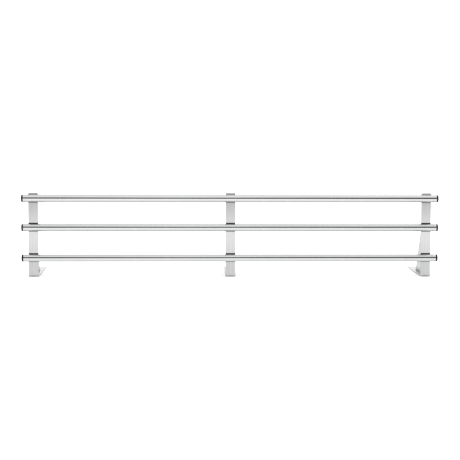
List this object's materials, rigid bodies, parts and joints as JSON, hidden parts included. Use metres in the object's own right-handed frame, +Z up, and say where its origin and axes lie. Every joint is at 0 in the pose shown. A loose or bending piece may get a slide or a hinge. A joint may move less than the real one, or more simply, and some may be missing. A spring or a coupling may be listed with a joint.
{
  "type": "towel warmer rack",
  "caption": "Low towel warmer rack: round steel bars with black end caps, held in front of flat strip brackets with rear feet and triangular ribs.",
  "frame": {"origin": "on the surface the feet stand on, at the centre of the rack's outline seen from above", "axes": "+X along the bars, +Y from the bars back along the feet, +Z up"},
  "size_m": [1.27, 0.2742, 0.257],
  "materials": {
    "polished_tube": "polished stainless steel",
    "bracket_steel": "fine brushed",
    "fixing_steel": "bright zinc plated",
    "end_cap_plastic": "semi-matte",
    "pad_rubber": "matte black rubber sheet"
  },
  "bodies": {
    "root": {"bottom_bar": "polished_tube", "bottom_bar_left_cap": "end_cap_plastic", "bottom_bar_right_cap": "end_cap_plastic", "left_bracket_rib": "bracket_steel", "left_bracket_strip": "bracket_steel", "middle_bar": "polished_tube", "middle_bar_left_cap": "end_cap_plastic", "middle_bar_right_cap": "end_cap_plastic", "middle_bracket_rib": "bracket_steel", "middle_bracket_strip": "bracket_steel", "pad_bottom_bar_left": "pad_rubber", "pad_bottom_bar_middle": "pad_rubber", "pad_bottom_bar_right": "pad_rubber", "pad_middle_bar_left": "pad_rubber", "pad_middle_bar_middle": "pad_rubber", "pad_middle_bar_right": "pad_rubber", "pad_top_bar_left": "pad_rubber", "pad_top_bar_middle": "pad_rubber", "pad_top_bar_right": "pad_rubber", "right_bracket_rib": "bracket_steel", "right_bracket_strip": "bracket_steel", "rivet_nut_bottom_bar_left_a": "fixing_steel", "rivet_nut_bottom_bar_left_b": "fixing_steel", "rivet_nut_bottom_bar_middle_a": "fixing_steel", "rivet_nut_bottom_bar_middle_b": "fixing_steel", "rivet_nut_bottom_bar_right_a": "fixing_steel", "rivet_nut_bottom_bar_right_b": "fixing_steel", "rivet_nut_middle_bar_left_a": "fixing_steel", "rivet_nut_middle_bar_left_b": "fixing_steel", "rivet_nut_middle_bar_middle_a": "fixing_steel", "rivet_nut_middle_bar_middle_b": "fixing_steel", "rivet_nut_middle_bar_right_a": "fixing_steel", "rivet_nut_middle_bar_right_b": "fixing_steel", "rivet_nut_top_bar_left_a": "fixing_steel", "rivet_nut_top_bar_left_b": "fixing_steel", "rivet_nut_top_bar_middle_a": "fixing_steel", "rivet_nut_top_bar_middle_b": "fixing_steel", "rivet_nut_top_bar_right_a": "fixing_steel", "rivet_nut_top_bar_right_b": "fixing_steel", "screw_bottom_bar_left_a": "fixing_steel", "screw_bottom_bar_left_b": "fixing_steel", "screw_bottom_bar_middle_a": "fixing_steel", "screw_bottom_bar_middle_b": "fixing_steel", "screw_bottom_bar_right_a": "fixing_steel", "screw_bottom_bar_right_b": "fixing_steel", "screw_middle_bar_left_a": "fixing_steel", "screw_middle_bar_left_b": "fixing_steel", "screw_middle_bar_middle_a": "fixing_steel", "screw_middle_bar_middle_b": "fixing_steel", "screw_middle_bar_right_a": "fixing_steel", "screw_middle_bar_right_b": "fixing_steel", "screw_top_bar_left_a": "fixing_steel", "screw_top_bar_left_b": "fixing_steel", "screw_top_bar_middle_a": "fixing_steel", "screw_top_bar_middle_b": "fixing_steel", "screw_top_bar_right_a": "fixing_steel", "screw_top_bar_right_b": "fixing_steel", "top_bar": "polished_tube", "top_bar_left_cap": "end_cap_plastic", "top_bar_right_cap": "end_cap_plastic"}
  },
  "joints": []
}
